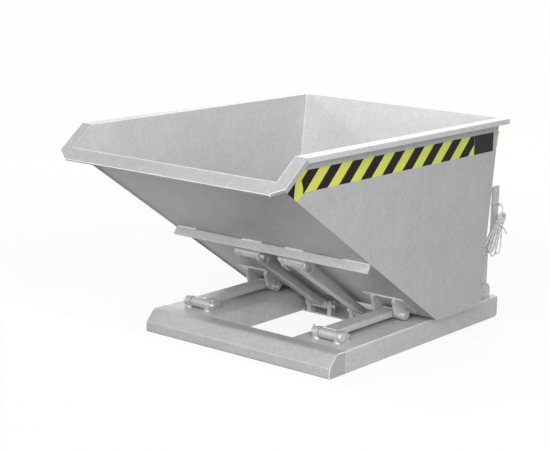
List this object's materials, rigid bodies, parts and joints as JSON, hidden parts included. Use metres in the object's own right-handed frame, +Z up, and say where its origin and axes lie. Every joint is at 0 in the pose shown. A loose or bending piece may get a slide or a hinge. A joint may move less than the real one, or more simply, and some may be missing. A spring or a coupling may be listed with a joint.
{
  "type": "tipping hopper",
  "caption": "Galvanised sheet-steel tipping hopper for a forklift: wedge bucket on a crossed-link frame with fork pockets, release lever with rope, and striped warning tape.",
  "frame": {"origin": "middle of the rigid assembly's footprint, on the floor", "axes": "+Z up, -Y towards the pouring lip, +X towards the side that carries the release lever"},
  "size_m": [1.096, 1.6641, 0.877],
  "materials": {
    "galvanised_sheet": "galvanised, satin",
    "galvanised_section": "galvanised, satin",
    "zinc_hardware": "zinc plated",
    "warning_tape": "yellow film with slanted black stripes",
    "black_plate": "bare black film",
    "rope": "braided cord"
  },
  "bodies": {
    "base": {"front_beam": "galvanised_section", "beam_end_caps": "galvanised_section", "beam_web": "galvanised_section", "rail_left": "galvanised_section", "rail_right": "galvanised_section", "pocket_floor_left": "galvanised_section", "pocket_floor_right": "galvanised_section", "rear_sill": "galvanised_section", "link_plate": "galvanised_section", "arm_lugs": "galvanised_section", "arm_base_pins": "zinc_hardware", "link_lugs": "galvanised_section", "link_base_pins": "zinc_hardware", "base_washers": "zinc_hardware", "base_split_pins": "zinc_hardware", "lever_ears": "galvanised_section", "lever_bolt": "zinc_hardware", "lever_nut": "zinc_hardware", "lever_washers": "zinc_hardware"},
    "front_arms": {"arm_bar_left": "galvanised_section", "arm_bar_right": "galvanised_section", "arm_front_tubes": "galvanised_section", "arm_rear_tubes": "galvanised_section"},
    "centre_links": {"link_bar_left": "galvanised_section", "link_bar_right": "galvanised_section", "link_lower_tubes": "galvanised_section", "link_upper_tubes": "galvanised_section", "link_top_pins": "zinc_hardware", "link_top_washers": "zinc_hardware", "link_split_pins": "zinc_hardware"},
    "bucket": {"slope_sheet": "galvanised_sheet", "bottom_sheet": "galvanised_sheet", "rear_wall": "galvanised_sheet", "rear_hem": "galvanised_sheet", "side_wall_left": "galvanised_sheet", "side_wall_right": "galvanised_sheet", "rim_left": "galvanised_sheet", "rim_right": "galvanised_sheet", "lip_side_left": "galvanised_sheet", "lip_side_right": "galvanised_sheet", "lip_front": "galvanised_sheet", "rest_strips": "galvanised_section", "crossbar": "galvanised_section", "arm_doublers": "galvanised_section", "arm_ears": "galvanised_section", "ear_washers": "zinc_hardware", "bucket_pins": "zinc_hardware", "bucket_washers": "zinc_hardware", "bucket_split_pins": "zinc_hardware", "link_ears": "galvanised_section", "catch_ears": "galvanised_section", "catch_pin": "zinc_hardware", "side_tapes": "warning_tape", "front_tapes": "warning_tape", "rear_tape": "warning_tape", "data_plates": "black_plate"},
    "release_lever": {"lever_bar": "galvanised_section", "latch_hook": "galvanised_section", "rope_lead": "rope", "rope_hank": "rope"}
  },
  "joints": [
    {"name": "tip", "type": "hinge", "parent": "base", "child": "front_arms", "pos_m": [0, -0.23547, 0.1135], "axis": [1, 0, 0], "range_deg": [0, 41.75]},
    {"name": "bucket_pivot", "type": "hinge", "parent": "front_arms", "child": "bucket", "pos_m": [0, 0.18753, 0.1135], "axis": [1, 0, 0], "range_deg": [0, 29.41]},
    {"name": "link_pivot", "type": "hinge", "parent": "base", "child": "centre_links", "pos_m": [0, 0.30303, 0.045], "axis": [1, 0, 0], "range_deg": [0, 24.03]},
    {"name": "lever_pivot", "type": "hinge", "parent": "base", "child": "release_lever", "pos_m": [0.424, 0.73303, 0.122], "axis": [-1, 0, 0], "range_deg": [-8, 22]}
  ],
  "couplings": [
    {"joint": "bucket_pivot", "follows": "tip", "ratio": 0.7043},
    {"joint": "link_pivot", "follows": "tip", "ratio": 0.5753}
  ]
}
